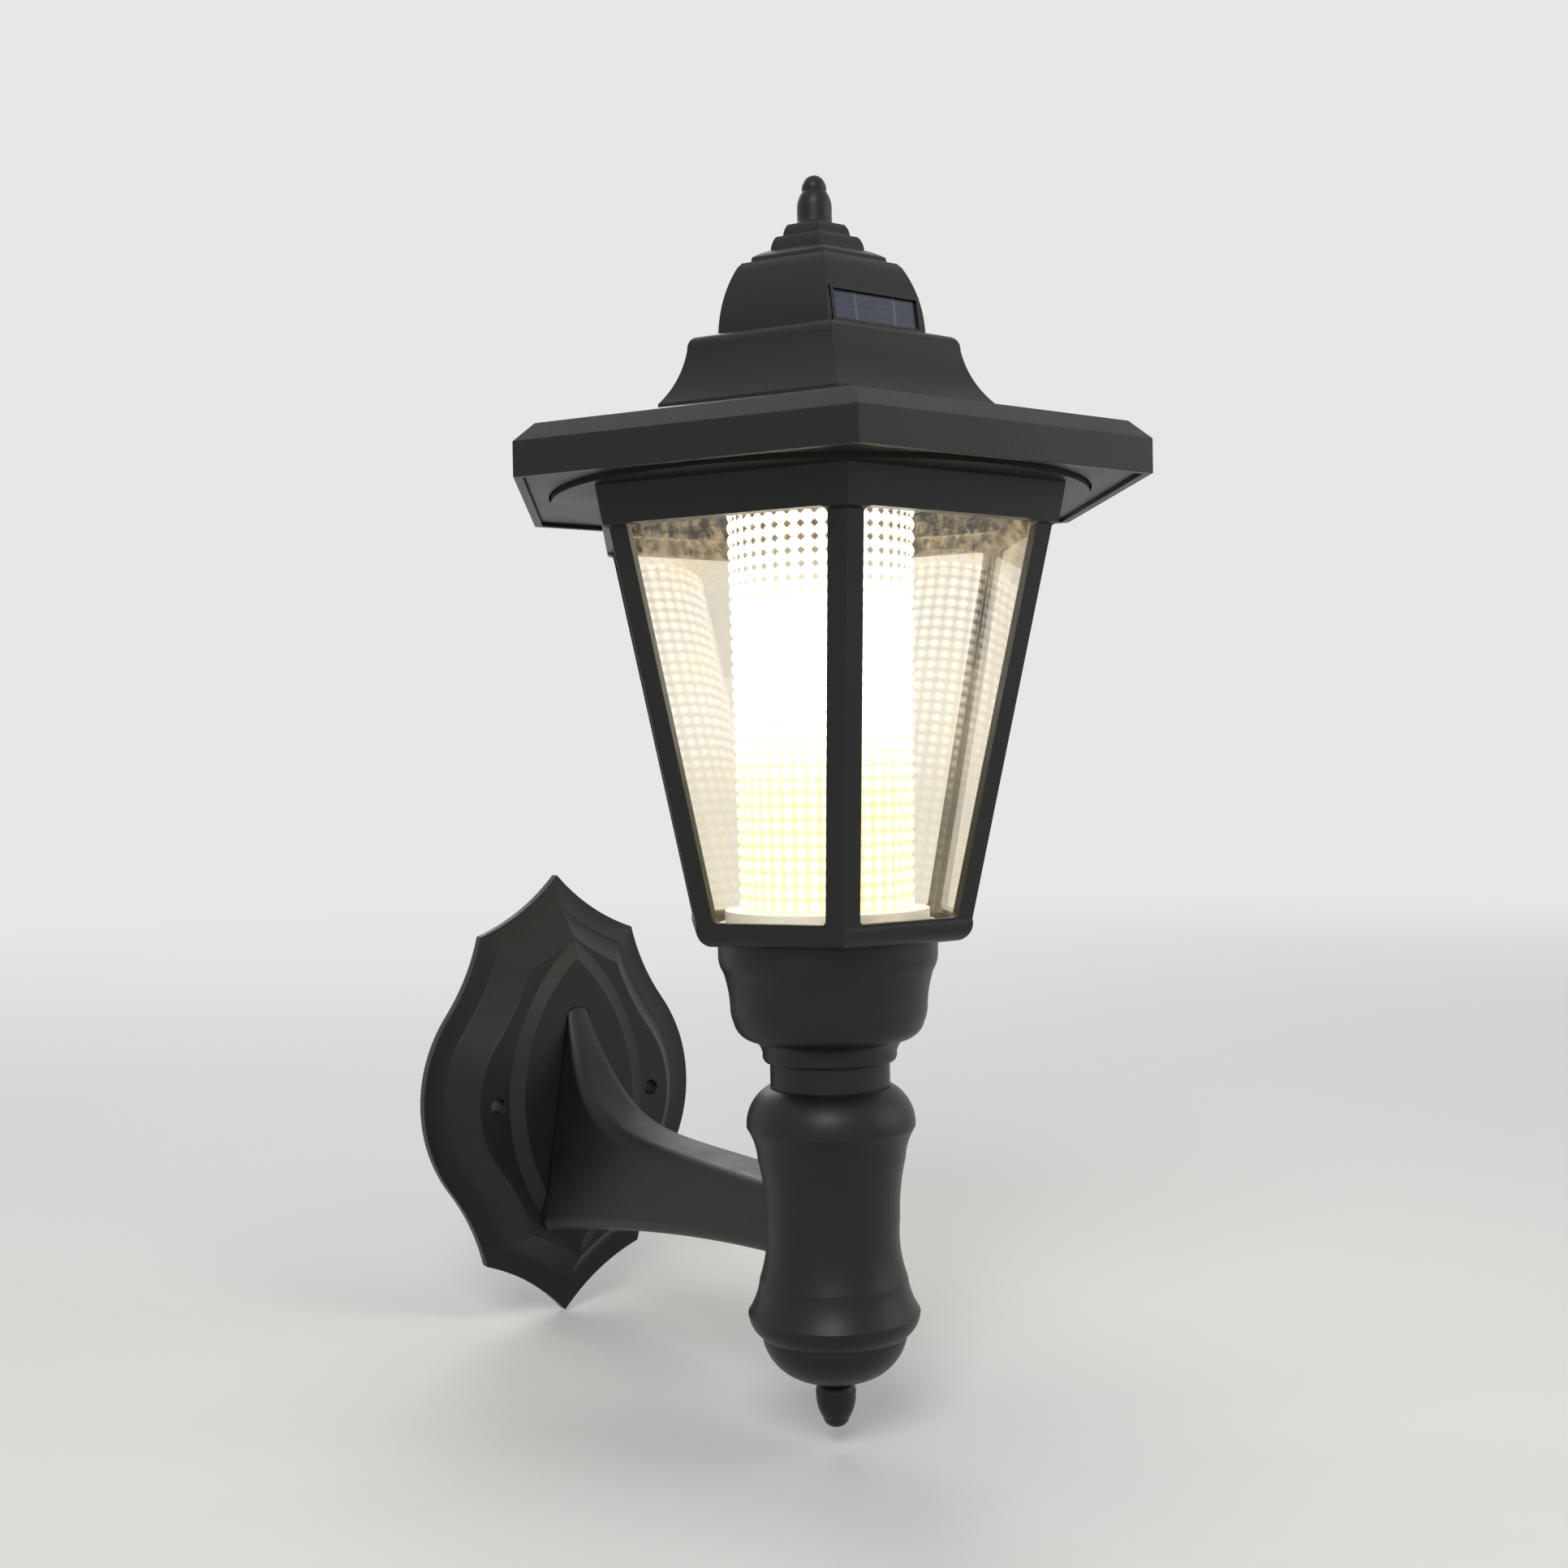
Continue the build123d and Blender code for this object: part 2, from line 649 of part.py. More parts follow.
def lantern_cage():
    band_foot = cage_height - band_height
    outer = six_sided([(cage_foot_radius, 0), (cage_low_radius, cage_low_height, -cage_foot_bulge),
                       (cage_high_radius, band_foot), (band_low_radius, band_foot + band_step_height),
                       (band_high_radius, cage_height)])
    hollow = six_sided([(cage_corner(cage_floor) - cage_wall, cage_floor),
                        (cage_corner(cage_height) - cage_wall, cage_height)])
    body = outer - hollow
    low_half = cage_corner(window_low) / 2 - strut_half_width
    high_half = cage_corner(window_high) / 2 - strut_half_width
    window = Polygon((-low_half, window_low), (low_half, window_low),
                     (high_half, window_high), (-high_half, window_high), align=None)
    window = Plane.XZ * fillet(window.vertices(), window_corner)
    opening = extrude(Pos(0, -cage_low_radius / 3, 0) * window, amount=band_high_radius)
    for pane in around(opening, 6):
        body -= pane
    for x, y in cup_screw_places():
        body -= rod(cup_screw_radius + screw_gap, -overshoot, cage_floor + overshoot, x, y)
    return place(Pos(0, 0, cage_z) * body)


def clear_shade():
    # Clear six-sided liner that stands on the cage floor behind the windows.
    low, high = cage_floor, window_high + shade_above_window
    back = cage_wall + shade_gap
    front = back + shade_wall
    body = six_sided([(cage_corner(low) - back, low), (cage_corner(high) - back, high)])
    under, over = low - overshoot, high + overshoot
    body -= six_sided([(cage_corner(under) - front, under), (cage_corner(over) - front, over)])
    return place(Pos(0, 0, cage_z) * body)


def tube_seat():
    low = cage_z + cage_floor
    shade_corner = cage_corner(cage_floor) - cage_wall - shade_gap - shade_wall
    rim = shade_corner * hex_flat - tube_seat_margin
    body = ring(rim, tube_radius - tube_wall, low, low + tube_seat_thickness)
    outer = tube_radius + tube_gap + tube_seat_wall
    body += ring(outer, tube_radius + tube_gap, low, low + tube_seat_thickness + tube_seat_lip)
    return place(body)


def prism_tube():
    low = cage_z + cage_floor + tube_seat_thickness
    step = low + tube_foot_height
    high = cage_top_z + tube_above_cage
    outline = [(tube_low_radius - tube_wall, low), (tube_radius, low), (tube_radius, step),
               (tube_low_radius, step), (tube_top_radius, high), (tube_top_radius - tube_wall, high)]
    return place(turned(outline))


def locking_flange():
    low = cage_top_z
    high = low + flange_thickness
    top = high + collar_height
    body = ring(flange_radius, collar_radius - collar_wall, low, high)
    body += ring(collar_radius, collar_radius - collar_wall, high, top)
    root = collar_radius - collar_wall / 2
    lug = sector(collar_radius + lug_reach, root, lug_angle, top - lug_thickness, top)
    stop = sector(collar_radius + lug_reach, root, stop_angle, high - flange_thickness / 2, top)
    stop = Rot(0, 0, (lug_angle + stop_angle) / 2 + stop_clearance) * stop
    for copy in around(lug, lug_count) + around(stop, lug_count):
        body += copy
    return place(body)


# ---------------------------------------------------------------- roof
def brim_top(radius):
    # Height of the brim's sloping top above its lip at a corner radius.
    share = (brim_edge_radius - radius) / (brim_edge_radius - brim_seat_radius)
    return brim_edge_height + (brim_seat_height - brim_edge_height) * share


def roof_brim():
    outer = six_sided([(brim_radius, 0), (brim_radius, skirt_height), (brim_edge_radius, brim_edge_height),
                       (brim_seat_radius, brim_seat_height)])
    wall = roof_wall / hex_flat
    hollow = six_sided([(brim_radius - wall, -overshoot),
                        (brim_radius - wall, skirt_height - skirt_wall_drop),
                        (brim_edge_radius - edge_wall_inset, brim_edge_height - roof_wall),
                        (brim_seat_radius, brim_seat_height - roof_wall)])
    mouth = six_sided([(brim_mouth_radius, 0), (brim_mouth_radius, brim_seat_height + overshoot)])
    body = outer - hollow - mouth
    body = Pos(0, 0, roof_z) * body
    for angle in board_screw_angles():
        body += screw_post(board_screw_circle, angle, pan_z + board_thickness)
    for angle in service_screw_angles():
        body += screw_post(service_screw_circle, angle, service_z + service_thickness)
    return place(body)


def screw_post(radius, angle, low):
    # Post under the brim's top with a blind hole for a small screw.
    x, y = polar(radius, angle)
    high = roof_z + brim_top(radius) - roof_wall / 2
    hole = rod(small_screw_radius, low - overshoot, high - screw_hole_roof, x, y)
    return rod(roof_post_radius, low, high, x, y) - hole


def board_screw_angles():
    return (60, 180, 300)


def service_screw_angles():
    return (0, 120, 240)


def roof_floor():
    # Underside board with the round recess, the twist ring and its three catches.
    edge = (brim_radius - roof_wall / hex_flat) - board_gap / hex_flat
    mouth = flange_radius + lock_gap
    board = six_sided([(edge, board_z), (edge, board_z + board_thickness)])
    body = board - rod(mouth, board_z - overshoot, service_z)
    body += ring(mouth + roof_wall, mouth, board_z, pan_z + board_thickness)
    body += ring(mouth + roof_wall, ring_inner, pan_z, pan_z + board_thickness)
    body += ring(ring_outer, ring_inner, pan_z, service_z)
    lug_low = cage_top_z + flange_thickness + collar_height - lug_thickness
    outer = ring_inner + roof_wall / 2
    catch = sector(outer, collar_radius + lock_gap, lug_angle, pan_z, lug_low - lock_gap)
    for copy in around(catch, lug_count):
        body += copy
    for angle in board_screw_angles():
        x, y = polar(board_screw_circle, angle)
        body -= rod(small_screw_radius + screw_gap, pan_z - overshoot, service_z, x, y)
        body -= rod(small_head_radius + screw_gap, pan_z - overshoot, pan_z + small_head_height, x, y)
    return place(body)


def small_screw(low, high):
    # Screw seen from below: the head is at the bottom and the shank points up.
    screw = rod(small_screw_radius - shank_gap, low, high)
    screw += rod(small_head_radius, low, low + small_head_height)
    length = small_head_radius * 1.2
    screw -= Pos(0, 0, low) * Box(small_cross_width, length, 2 * small_cross_depth)
    return screw - Pos(0, 0, low) * Box(length, small_cross_width, 2 * small_cross_depth)


def board_screws():
    screws = []
    for angle in board_screw_angles():
        x, y = polar(board_screw_circle, angle)
        high = pan_z + board_thickness + board_screw_grip
        screws.append(place(Pos(x, y, 0) * small_screw(pan_z, high)))
    return screws


def service_screws():
    screws = []
    for angle in service_screw_angles():
        x, y = polar(service_screw_circle, angle)
        low = service_z - small_head_height
        high = service_z + service_thickness + service_screw_grip
        screws.append(place(Pos(x, y, 0) * small_screw(low, high)))
    return screws


def roof_riser():
    def outline(shrink):
        return [(riser_foot_radius - shrink, brim_seat_height),
                (riser_foot_radius - shrink, brim_seat_height + riser_foot_lip),
                (riser_neck_radius - shrink, riser_height - riser_neck_drop, riser_hollow),
                (riser_shoulder_radius - shrink, riser_height - riser_shoulder_drop, -riser_shoulder_bulge),
                (riser_shoulder_radius - riser_ledge_inset - shrink, riser_height)]
    mouth = dome_radius - roof_wall - dome_seat_margin
    body = six_sided(outline(0))
    body -= six_sided(outline(roof_wall)) & rod(brim_radius, brim_seat_height, riser_height - roof_wall)
    body -= six_sided([(mouth, brim_seat_height), (mouth, riser_height + overshoot)])
    seat_top = brim_seat_height + riser_foot_thickness
    tongue_radius = brim_mouth_radius - fit_gap
    tongue = six_sided([(tongue_radius, brim_seat_height - spigot_height), (tongue_radius, seat_top)])
    shelf = six_sided([(riser_foot_radius, brim_seat_height), (riser_foot_radius, seat_top)])
    inner = tongue_radius - roof_wall
    way = six_sided([(inner, brim_seat_height - spigot_height - overshoot), (inner, seat_top + overshoot)])
    return place(Pos(0, 0, roof_z) * (body + (tongue - way) + (shelf - way)))


def dome_shape(shrink):
    return six_sided([(dome_radius - shrink, riser_height),
                      (dome_top_radius - shrink, dome_top - dome_edge_height, -dome_bulge),
                      (dome_top_radius - dome_edge_inset - shrink, dome_top)])


def cell_frame():
    # Local frame of the solar cell on the front side of the dome.
    height = riser_height + cell_above_ledge + cell_height / 2
    front = Location((0, cell_inset - dome_radius * hex_flat, height))
    return front * Rot(-cell_lean, 0, 0)


def cell_block(width, height, front, back):
    # Upright slab between two distances from the cell frame, along its own depth.
    return Pos(0, (front + back) / 2, 0) * Box(width, back - front, height)


def roof_dome():
    body = dome_shape(0)
    body -= dome_shape(roof_wall) & rod(dome_radius, riser_height, dome_top - roof_wall)
    pocket_width = cell_width + 2 * bezel_width
    pocket_height = cell_height + 2 * bezel_width
    pocket_back = bezel_thickness + pocket_wall
    more = 2 * pocket_margin      # backing that shows round the pocket, inside the dome
    backing = cell_block(pocket_width + more, pocket_height + more, cell_proud, pocket_back)
    body += cell_frame() * backing & dome_shape(roof_wall / 5)
    seat_top = riser_height + dome_seat_thickness
    tongue_radius = dome_radius - roof_wall - dome_seat_margin - fit_gap
    inner = tongue_radius - roof_wall
    tongue = six_sided([(tongue_radius, riser_height - spigot_height), (tongue_radius, seat_top)])
    way_foot = riser_height - spigot_height - overshoot
    body += tongue - six_sided([(inner, way_foot), (inner, seat_top + overshoot)])
    pocket = cell_block(pocket_width + fit_gap, pocket_height + fit_gap, -bezel_thickness, bezel_thickness)
    body -= cell_frame() * pocket
    body -= rod(crown_plug_radius + fit_gap, riser_height, dome_top + overshoot)
    return place(Pos(0, 0, roof_z) * body)


def solar_bezel():
    wide = cell_width + 2 * bezel_width
    outer = cell_block(wide, cell_height + 2 * bezel_width, -cell_proud, bezel_thickness)
    back = bezel_thickness - bezel_floor
    seat_gap = 2 * cell_seat_gap
    seat = cell_block(cell_width + seat_gap, cell_height + seat_gap, -bezel_thickness, back)
    return place(Pos(0, 0, roof_z) * cell_frame() * (outer - seat))


def solar_cell():
    back = bezel_thickness - bezel_floor
    slab = cell_block(cell_width, cell_height, back - cell_thickness, back)
    return place(Pos(0, 0, roof_z) * cell_frame() * slab)


def crown_cap():
    # Stepped six-sided tiers on top of the dome.
    points = []
    height = dome_top
    for (low_radius, high_radius, rise), bulge in zip(crown_tiers, tier_bulges):
        if points == [] or points[-1][0] != low_radius:
            points.append((low_radius, height))
        height += rise
        points.append((high_radius, height, -bulge))
    body = six_sided(points)
    body += rod(crown_plug_radius, dome_top - roof_wall, dome_top)
    body -= rod(finial_tip_radius, dome_top - roof_wall - overshoot, height + overshoot)
    return place(Pos(0, 0, roof_z) * body)


def top_finial():
    low = dome_top + sum(rise for _, _, rise in crown_tiers)
    high = low + finial_height
    body = turned([(0, low), (finial_collar_radius, low),
                   (finial_collar_top_radius, low + finial_collar_height, -finial_bulge),
                   (finial_radius, low + finial_waist_height), (finial_radius, low + finial_stem_height),
                   (finial_neck_radius, low + finial_neck_height, -finial_shoulder_bulge),
                   (finial_tip_radius, high - finial_round, -finial_bulge),
                   (0, high, cap_sag(finial_tip_radius, finial_round))])
    body += rod(finial_tip_radius - shank_gap, low - finial_pin_length, low)
    return place(Pos(0, 0, roof_z) * body)


# ---------------------------------------------------------------- inside the roof
def service_plate():
    top = service_z + service_thickness
    body = rod(ring_outer, service_z, top)
    for angle in service_screw_angles():
        x, y = polar(service_screw_circle, angle)
        body -= rod(small_screw_radius + screw_gap, service_z - overshoot, top + overshoot, x, y)
    case_x, case_y, _ = switch_case
    slot = (case_x - 2 * switch_lip, case_y - 2 * switch_lip, service_thickness + 2 * overshoot)
    body -= block(slot, -switch_radius, 0, service_z - overshoot)
    body -= rod(cable_radius, service_z - overshoot, top + overshoot)
    return place(body)


def led_stalk():
    # Pale funnel that carries the light source down into the tube.
    points = [(0, stalk_foot_z), (stalk_radius, stalk_foot_z),
              (stalk_top_radius, service_z - stalk_rim_height),
              (stalk_top_radius + stalk_rim_width, service_z), (0, service_z)]
    return place(turned(points) - rod(cable_radius, stalk_foot_z - overshoot, service_z + overshoot))


def led_board():
    low = stalk_foot_z - led_board_thickness
    return place(rod(stalk_radius - led_board_inset, low, stalk_foot_z))


def led_lens():
    high = stalk_foot_z - led_board_thickness
    low = high - led_length
    foot = led_radius + led_foot_width
    points = [(0, low), (led_radius, low + led_radius, -led_tip_bulge), (led_radius, high - led_foot_height),
              (foot, high - led_foot_height), (foot, high), (0, high)]
    return place(turned(points))


def battery_axis(shape):
    # Turns an upright piece so that it lies along X beside the circuit board.
    height = service_z + service_thickness + holder_wall + battery_radius + battery_gap
    return place(Pos(0, battery_y, height) * Rot(0, 90, 0) * shape)


def battery():
    half = battery_length / 2
    body = rod(battery_radius, -half, half) + rod(battery_cap_radius, half, half + battery_cap_height)
    return battery_axis(body)


def battery_holder():
    room = battery_radius + battery_gap
    length = battery_length + 2 * holder_end_room + 2 * holder_wall
    wide = 2 * (room + holder_wall)
    low = service_z + service_thickness
    body = block((length, wide, room + holder_wall), 0, battery_y, low)
    inside = (length - 2 * holder_wall, wide - 2 * holder_wall, 2 * room)
    body -= block(inside, 0, battery_y, low + holder_wall)
    return place(body)


def battery_contacts():
    # A flat tab at the cap end and a bent leaf at the other.
    low = service_z + service_thickness + holder_wall
    room = battery_length / 2 + holder_end_room
    plate_size = (contact_thickness, contact_width, battery_radius)
    arm_low = low + battery_radius - contact_thickness
    cap_reach = holder_end_room - battery_cap_height
    tab_size = (cap_reach, contact_tab_width, contact_thickness)
    leaf_size = (holder_end_room, contact_tab_width, contact_thickness)
    tab = block(plate_size, room - contact_thickness / 2, battery_y, low)
    tab += block(tab_size, room - cap_reach / 2, battery_y, arm_low)
    leaf = block(plate_size, -room + contact_thickness / 2, battery_y, low)
    leaf += block(leaf_size, -room + holder_end_room / 2, battery_y, arm_low)
    return [place(tab), place(leaf)]


def circuit_board():
    wide, deep, thick = circuit_size
    low = service_z + service_thickness + circuit_stand
    body = block((wide, deep, thick), 0, circuit_y, low)
    leg_x = wide / 2 - circuit_leg_inset
    leg_y = deep / 2 - circuit_leg_inset
    for x in (-leg_x, leg_x):
        for y in (circuit_y - leg_y, circuit_y + leg_y):
            body += rod(circuit_leg_radius, service_z + service_thickness, low, x, y)
    body += block(chip_size, chip_x, circuit_y, low + thick)
    top = low + thick
    body += rod(capacitor_radius, top, top + capacitor_height, capacitor_x, capacitor_y)
    return place(body)


# ---------------------------------------------------------------- power switch
def switch_housing():
    # Slide switch in the service plate: its case is above the plate and opens downwards.
    case_x, case_y, case_z = switch_case
    low = service_z + service_thickness
    body = block((case_x, case_y, case_z), -switch_radius, 0, low)
    knob_x, knob_y, _ = switch_knob
    room = (knob_x + switch_travel + 2 * switch_gap, knob_y + 2 * switch_gap,
            case_z - switch_case_wall + overshoot)
    return place(body - block(room, -switch_radius, 0, low - overshoot))


def switch_slider():
    knob_x, knob_y, knob_z = switch_knob
    low = service_z - knob_z + service_thickness
    x = -switch_radius - switch_travel / 2
    body = block((knob_x, knob_y, knob_z + switch_stem), x, 0, low)
    for groove in (-groove_pitch, 0.0, groove_pitch):
        body -= block((groove_width, knob_y + overshoot, groove_width), x + groove, 0, low)
    return place(body)


# ---------------------------------------------------------------- export
def as_one(shape):
    return shape if isinstance(shape, (Part, Solid, Compound)) else Compound(children=list(shape))


nodes = {
    "back_plate": back_plate,
    "bracket_arm": bracket_arm,
    "arm_screws": arm_screws,
    "post_barrel": post_barrel,
    "post_bowl": post_bowl,
    "drop_finial": drop_finial,
    "neck_sleeve": neck_sleeve,
    "lantern_cup": lantern_cup,
    "cup_screws": cup_screws,
    "lantern_cage": lantern_cage,
    "clear_shade": clear_shade,
    "tube_seat": tube_seat,
    "prism_tube": prism_tube,
    "locking_flange": locking_flange,
    "roof_brim": roof_brim,
    "roof_floor": roof_floor,
    "board_screws": board_screws,
    "service_screws": service_screws,
    "roof_riser": roof_riser,
    "roof_dome": roof_dome,
    "solar_bezel": solar_bezel,
    "solar_cell": solar_cell,
    "crown_cap": crown_cap,
    "top_finial": top_finial,
    "service_plate": service_plate,
    "led_stalk": led_stalk,
    "led_board": led_board,
    "led_lens": led_lens,
    "battery": battery,
    "battery_holder": battery_holder,
    "battery_contacts": battery_contacts,
    "circuit_board": circuit_board,
    "switch_housing": switch_housing,
    "switch_slider": switch_slider,
}

os.makedirs("parts", exist_ok=True)
for name, make in nodes.items():
    export_step(as_one(make()), f"parts/{name}.step")
    print("wrote", name)
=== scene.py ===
import json
import math
import bmesh
import bpy
import numpy as np
from mathutils import Matrix, Vector

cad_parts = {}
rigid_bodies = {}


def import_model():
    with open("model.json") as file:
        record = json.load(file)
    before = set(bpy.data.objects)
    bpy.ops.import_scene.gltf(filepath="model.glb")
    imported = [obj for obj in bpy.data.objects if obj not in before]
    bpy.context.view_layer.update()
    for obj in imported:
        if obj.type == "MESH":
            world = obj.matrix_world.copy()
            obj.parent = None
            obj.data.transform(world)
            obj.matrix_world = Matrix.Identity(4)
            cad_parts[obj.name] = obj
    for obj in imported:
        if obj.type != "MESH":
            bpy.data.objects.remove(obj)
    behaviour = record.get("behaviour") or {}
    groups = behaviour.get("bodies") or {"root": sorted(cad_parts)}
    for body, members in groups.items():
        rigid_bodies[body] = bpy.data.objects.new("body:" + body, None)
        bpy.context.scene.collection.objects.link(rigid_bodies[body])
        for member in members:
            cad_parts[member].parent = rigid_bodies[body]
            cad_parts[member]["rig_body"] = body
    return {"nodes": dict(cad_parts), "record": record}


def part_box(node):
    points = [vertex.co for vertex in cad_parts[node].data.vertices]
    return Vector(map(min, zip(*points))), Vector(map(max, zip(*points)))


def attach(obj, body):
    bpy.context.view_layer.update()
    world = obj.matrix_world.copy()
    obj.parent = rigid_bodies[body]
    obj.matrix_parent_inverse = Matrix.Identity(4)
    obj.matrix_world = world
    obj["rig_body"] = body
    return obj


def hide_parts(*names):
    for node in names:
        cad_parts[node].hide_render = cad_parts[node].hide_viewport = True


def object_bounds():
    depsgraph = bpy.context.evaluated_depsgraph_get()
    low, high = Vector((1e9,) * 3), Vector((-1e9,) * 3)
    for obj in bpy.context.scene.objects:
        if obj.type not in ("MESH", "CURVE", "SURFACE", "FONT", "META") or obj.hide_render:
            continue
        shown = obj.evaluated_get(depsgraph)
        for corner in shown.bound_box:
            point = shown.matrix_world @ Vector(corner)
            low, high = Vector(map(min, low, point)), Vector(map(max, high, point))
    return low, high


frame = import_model()
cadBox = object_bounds()
nodes = frame["nodes"]
slotOf = {part["node"]: part["material_slot"] for part in frame["record"]["subparts"]}
lampY = -0.143  # the lamp's own axis stands this far in front of the wall


# One output of a shader node: an expression on it adds the Math nodes that it needs.
class Flow:
    def __init__(self, paint, socket):
        self.paint = paint
        self.socket = socket

    def maths(self, operation, *values):
        return self.paint.node("Math", {"operation": operation}, dict(enumerate(values)))

    def __add__(self, other):
        return self.maths("ADD", self, other)

    def __radd__(self, other):
        return self.maths("ADD", other, self)

    def __sub__(self, other):
        return self.maths("SUBTRACT", self, other)

    def __rsub__(self, other):
        return self.maths("SUBTRACT", other, self)

    def __mul__(self, other):
        return self.maths("MULTIPLY", self, other)

    def __rmul__(self, other):
        return self.maths("MULTIPLY", other, self)

    def __pow__(self, other):
        return self.maths("POWER", self, other)

    def __rpow__(self, other):
        return self.maths("POWER", other, self)

    def absolute(self):
        return self.maths("ABSOLUTE", self)

    def fraction(self):
        return self.maths("FRACT", self)

    def clamped(self):
        return self.maths("MINIMUM", self.maths("MAXIMUM", self, 0.0), 1.0)

    # 0 below low, 1 above high, smooth between them
    def step(self, low, high):
        values = {"Value": self, "From Min": low, "From Max": high}
        return self.paint.node("MapRange", {"interpolation_type": "SMOOTHSTEP"}, values)

    # another output of the same node
    def output(self, name):
        return Flow(self.paint, self.socket.node.outputs[name])


# The nodes of one material or world. A noise is given as (scale, detail, roughness).
class Paint:
    def __init__(self, owner):
        owner.use_nodes = True
        self.owner = owner
        self.tree = owner.node_tree

    # one node of any kind: its settings first, then its values and links
    def node(self, kind, settings=None, values=None, out=0):
        made = self.tree.nodes.new("ShaderNode" + kind)
        for key, value in (settings or {}).items():
            setattr(made, key, value)
        for key, value in (values or {}).items():
            self.feed(made.inputs[key], value)
        return Flow(self, made.outputs[out] if made.outputs else None)

    # a Flow is linked, a colour gets its fourth number, and any other value is set as it is
    def feed(self, socket, value):
        if isinstance(value, Flow):
            self.tree.links.new(value.socket, socket)
        elif isinstance(value, tuple):
            socket.default_value = (*value, 1.0)
        else:
            socket.default_value = value

    # words such as baseColor name the shader's sockets
    def set(self, **values):
        shader = self.tree.nodes["Principled BSDF"]
        for word, value in values.items():
            name = "".join(" " + c if c.isupper() else c for c in word).title()
            self.feed(shader.inputs[name.replace("Ior", "IOR")], value)

    def shaded(self):
        return Flow(self, self.tree.nodes["Principled BSDF"].outputs["BSDF"])

    def show(self, shader):
        self.feed(self.tree.nodes["Material Output"].inputs["Surface"], shader)

    def place(self):
        return self.node("TexCoord", out="Object")

    def split(self, vector):
        parts = self.node("SeparateXYZ", values={0: vector})
        return [parts.output(axis) for axis in "XYZ"]

    def attribute(self, name):
        return self.node("Attribute", {"attribute_name": name}, out="Fac")

    def noise(self, grain, vector=None):
        values = dict(zip(("Scale", "Detail", "Roughness"), grain))
        return self.node("TexNoise", values={"Vector": vector or self.place(), **values})

    # a Mix node has its colours in inputs 6 and 7 and the mixed one in output 2
    def mix(self, factor, first, second):
        return self.node("Mix", {"data_type": "RGBA"}, {0: factor, 6: first, 7: second}, out=2)

    def mixShaders(self, factor, first, second):
        return self.node("MixShader", values={0: factor, 1: first, 2: second})

    def bump(self, height, distance, strength):
        return self.node("Bump", values={"Height": height, "Distance": distance, "Strength": strength})


# Black moulding: a fine spark-eroded grain, faint flow marks, dust that lies on faces that look up.
def blackPlastic(name, look):
    paint = Paint(bpy.data.materials.new(name))
    place = paint.place()
    grain = paint.noise(look["grain"], place)
    cloud = paint.noise(look["cloud"], place)
    up = paint.split(paint.node("NewGeometry", out="Normal"))[2]
    dust = up.step(*look["dustTilt"]) * cloud.step(*look["dustPatch"]) * look["dust"]
    colour = paint.mix(cloud, look["dark"], look["light"])
    colour = paint.mix(dust, colour, look["dustColour"])
    rough = look["rough"] + (cloud - 0.5) * look["cloudRough"] + (grain - 0.5) * look["grainRough"]
    paint.set(baseColor=colour, roughness=(rough + dust).clamped(), specularIorLevel=look["gloss"])
    paint.set(normal=paint.bump(grain, look["grainDepth"], look["grainBump"]))
    return paint.owner


blackLook = {
    "dark": (0.0045, 0.0045, 0.0048),
    "light": (0.0105, 0.0100, 0.0098),
    "gloss": 0.32,
    "rough": 0.42,
    "cloud": (38.0, 3.0, 0.55),
    "cloudRough": 0.16,
    "grain": (1500.0, 3.0, 0.6),
    "grainRough": 0.08,
    "grainDepth": 0.00005,
    "grainBump": 0.55,
    "dust": 0.10,
    "dustColour": (0.10, 0.095, 0.085),
    "dustTilt": (0.55, 1.0),  # the normal's upward part where dust starts, and where it lies full
    "dustPatch": (0.42, 0.7),
}


# A plain moulding or coating: one colour with a soft cloud and a light grain.
def plainPaint(look, common):
    paint = Paint(bpy.data.materials.new(look["name"]))
    place = paint.place()
    cloud = paint.noise(common["cloud"], place)
    grain = paint.noise(common["grain"], place)
    shade = tuple(c * (1 - look["spread"]) for c in look["colour"])
    paint.set(baseColor=paint.mix(cloud, shade, look["colour"]), **look.get("glow", {}))
    paint.set(roughness=(look["rough"] + (cloud - 0.5) * common["cloudRough"]).clamped())
    paint.set(normal=paint.bump(grain, common["grainDepth"], common["grainBump"]))
    return paint.owner


plainLooks = {
    "white_plastic": {"name": "whitePlastic", "colour": (0.80, 0.79, 0.75), "rough": 0.42, "spread": 0.1},
    "light_board": {"name": "whiteBoard", "colour": (0.82, 0.82, 0.78), "rough": 0.35, "spread": 0.1},
    "board_green": {"name": "greenBoard", "colour": (0.03, 0.18, 0.08), "rough": 0.3, "spread": 0.25},
    "battery_wrap": {"name": "batteryWrap", "colour": (0.12, 0.26, 0.15), "rough": 0.28, "spread": 0.2},
    "light_source": {
        "name": "litLens",
        "colour": (0.95, 0.85, 0.6),
        "rough": 0.2,
        "spread": 0.1,
        "glow": {"emissionColor": (1.0, 0.86, 0.55), "emissionStrength": 2.5},
    },
}
plainGrain = {
    "cloud": (60.0, 3.0, 0.5),
    "cloudRough": 0.12,
    "grain": (900.0, 2.0, 0.5),
    "grainDepth": 0.00003,
    "grainBump": 0.4,
}


# Plated steel: cloudy patches, duller and brighter by turns, under a very fine grain.
def steelPaint(look, common):
    paint = Paint(bpy.data.materials.new(look["name"]))
    cloud = paint.noise(common["cloud"])
    grain = paint.noise(common["grain"])
    dull = tuple(c * common["dull"] for c in look["colour"])
    paint.set(metallic=1.0, baseColor=paint.mix(cloud, dull, look["colour"]))
    paint.set(roughness=(look["rough"] + (cloud - 0.5) * common["cloudRough"]).clamped())
    paint.set(normal=paint.bump(grain, common["grainDepth"], common["grainBump"]))
    return paint.owner


